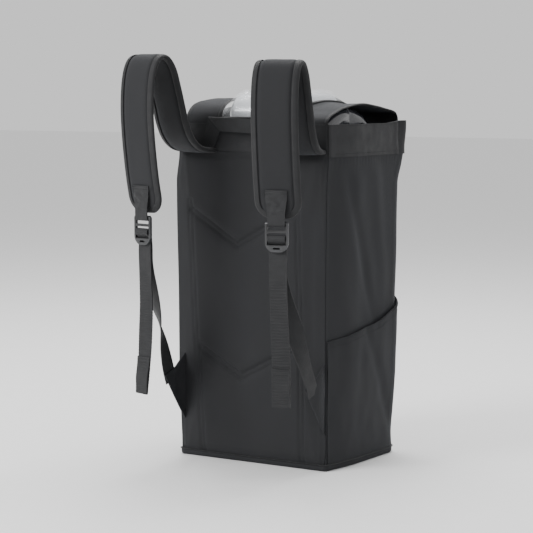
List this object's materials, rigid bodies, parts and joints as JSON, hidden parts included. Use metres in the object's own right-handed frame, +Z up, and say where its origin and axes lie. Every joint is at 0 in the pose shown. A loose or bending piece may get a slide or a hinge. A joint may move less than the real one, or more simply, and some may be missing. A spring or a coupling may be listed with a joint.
{
  "type": "portable oxygen concentrator in a carry backpack",
  "caption": "Portable oxygen concentrator standing in a padded carry backpack with shoulder straps, an open-sided cover and a clear window over its control pod.",
  "frame": {"origin": "middle of the base that the pack stands on", "axes": "+Z up, the shoulder straps face -Y, +X is to the right when facing the straps"},
  "size_m": [0.2914, 0.346, 0.586],
  "materials": {
    "pack_fabric": "dark charcoal woven polyester",
    "pad_fabric": "dark padded fabric with bound edges",
    "webbing": "black ribbed webbing",
    "foam": "closed-cell foam",
    "board": "stiff plastic board",
    "tape": "hook and loop tape",
    "zip": "coil zip",
    "zip_metal": "black painted",
    "buckle": "moulded black",
    "film": "clear flexible film",
    "smoke_housing": "glossy dark smoky grey",
    "silver_pod": "silver white gloss",
    "overlay": "membrane overlay",
    "screen": "tinted display window",
    "key_light": "satin keys",
    "key_green": "satin key",
    "key_amber": "satin key",
    "battery": "moulded",
    "latch": "moulded grey",
    "brass": "turned",
    "chassis_metal": "brushed sheet",
    "vessel_metal": "satin tube",
    "cast_metal": "cast",
    "motor_metal": "painted can",
    "steel": "machined",
    "rubber": "soft",
    "tubing": "silicone tube",
    "manifold": "moulded",
    "filter": "moulded cartridge",
    "circuit": "circuit board",
    "fan": "moulded"
  },
  "bodies": {
    "pack_and_machine": {"air_tubes": "tubing", "back_foam": "foam", "back_panel": "pad_fabric", "base_board": "board", "battery_pack": "battery", "bottom_panel": "pack_fabric", "buckle_loops": "webbing", "chassis": "chassis_metal", "collar_band": "webbing", "compressor_motor": "motor_metal", "control_overlay": "overlay", "control_pod": "silver_pod", "crankcase": "cast_metal", "cylinder_heads": "cast_metal", "display_module": "fan", "display_window": "screen", "exhaust_muffler": "filter", "fan_frame": "fan", "front_housing": "smoke_housing", "front_panel": "pack_fabric", "front_pocket": "pack_fabric", "handle_ends": "webbing", "housing_screws": "steel", "intake_filter": "filter", "interface_board": "circuit", "left_adjust_webbing": "webbing", "left_side_panel": "pack_fabric", "left_side_pocket": "pack_fabric", "left_strap_pad": "pad_fabric", "loop_tape": "tape", "machine_shelf": "pad_fabric", "main_board": "circuit", "outlet_nozzle": "brass", "pocket_zip": "zip", "power_inlet": "fan", "product_tank": "vessel_metal", "rear_housing": "smoke_housing", "right_adjust_webbing": "webbing", "right_side_panel": "pack_fabric", "right_side_pocket": "pack_fabric", "right_strap_pad": "pad_fabric", "rubber_mounts": "rubber", "sieve_beds": "vessel_metal", "solenoid_valves": "motor_metal", "valve_manifold": "manifold", "wings": "pack_fabric"},
    "cover": {"top_cover": "pack_fabric", "cover_window": "film", "hook_tape": "tape"},
    "power_key": {"power_button": "key_green"},
    "minus_key": {"minus_button": "key_light"},
    "plus_key": {"plus_button": "key_light"},
    "alarm_key": {"alarm_button": "key_amber"},
    "latch": {"battery_latch": "latch"},
    "compressor_shaft": {"crankshaft": "steel"},
    "fan": {"fan_rotor": "fan"},
    "left_lock": {"left_ladder_lock": "buckle"},
    "right_lock": {"right_ladder_lock": "buckle"},
    "zip_slider": {"zip_slider": "zip_metal"},
    "grab_handle": {"grab_handle": "webbing"}
  },
  "joints": [
    {"name": "cover_open", "type": "hinge", "parent": "pack_and_machine", "child": "cover", "pos_m": [0, 0.1154, 0.4847], "axis": [-1, 0, 0], "range_deg": [0, 150]},
    {"name": "power_press", "type": "slide", "parent": "pack_and_machine", "child": "power_key", "axis": [0, 0, -1], "range_m": [0, 0.0008], "stiffness_N_per_m": 300},
    {"name": "minus_press", "type": "slide", "parent": "pack_and_machine", "child": "minus_key", "axis": [0, 0, -1], "range_m": [0, 0.0008], "stiffness_N_per_m": 300},
    {"name": "plus_press", "type": "slide", "parent": "pack_and_machine", "child": "plus_key", "axis": [0, 0, -1], "range_m": [0, 0.0008], "stiffness_N_per_m": 300},
    {"name": "alarm_press", "type": "slide", "parent": "pack_and_machine", "child": "alarm_key", "axis": [0, 0, -1], "range_m": [0, 0.0008], "stiffness_N_per_m": 300},
    {"name": "battery_latch_slide", "type": "slide", "parent": "pack_and_machine", "child": "latch", "axis": [0, 1, 0], "range_m": [0, 0.005], "stiffness_N_per_m": 200},
    {"name": "compressor_spin", "type": "hinge", "parent": "pack_and_machine", "child": "compressor_shaft", "pos_m": [0, -0.037, 0.3], "axis": [0, 0, 1], "continuous": true},
    {"name": "fan_spin", "type": "hinge", "parent": "pack_and_machine", "child": "fan", "pos_m": [-0.0915, 0.0335, 0.372], "axis": [1, 0, 0], "continuous": true},
    {"name": "right_lock_tilt", "type": "hinge", "parent": "pack_and_machine", "child": "right_lock", "pos_m": [0.11097, -0.20308, 0.354], "axis": [-0.9781, -0.2079, 0], "range_deg": [0, 40], "deforming": ["right_adjust_webbing"]},
    {"name": "left_lock_tilt", "type": "hinge", "parent": "pack_and_machine", "child": "left_lock", "pos_m": [-0.11097, -0.20308, 0.354], "axis": [-0.9781, 0.2079, 0], "range_deg": [0, 40], "deforming": ["left_adjust_webbing"]},
    {"name": "zip_slide", "type": "slide", "parent": "pack_and_machine", "child": "zip_slider", "axis": [1, 0, 0], "range_m": [0, 0.14]},
    {"name": "handle_fold", "type": "hinge", "parent": "pack_and_machine", "child": "grab_handle", "pos_m": [0, -0.0943, 0.456], "axis": [1, 0, 0], "range_deg": [0, 60]}
  ]
}
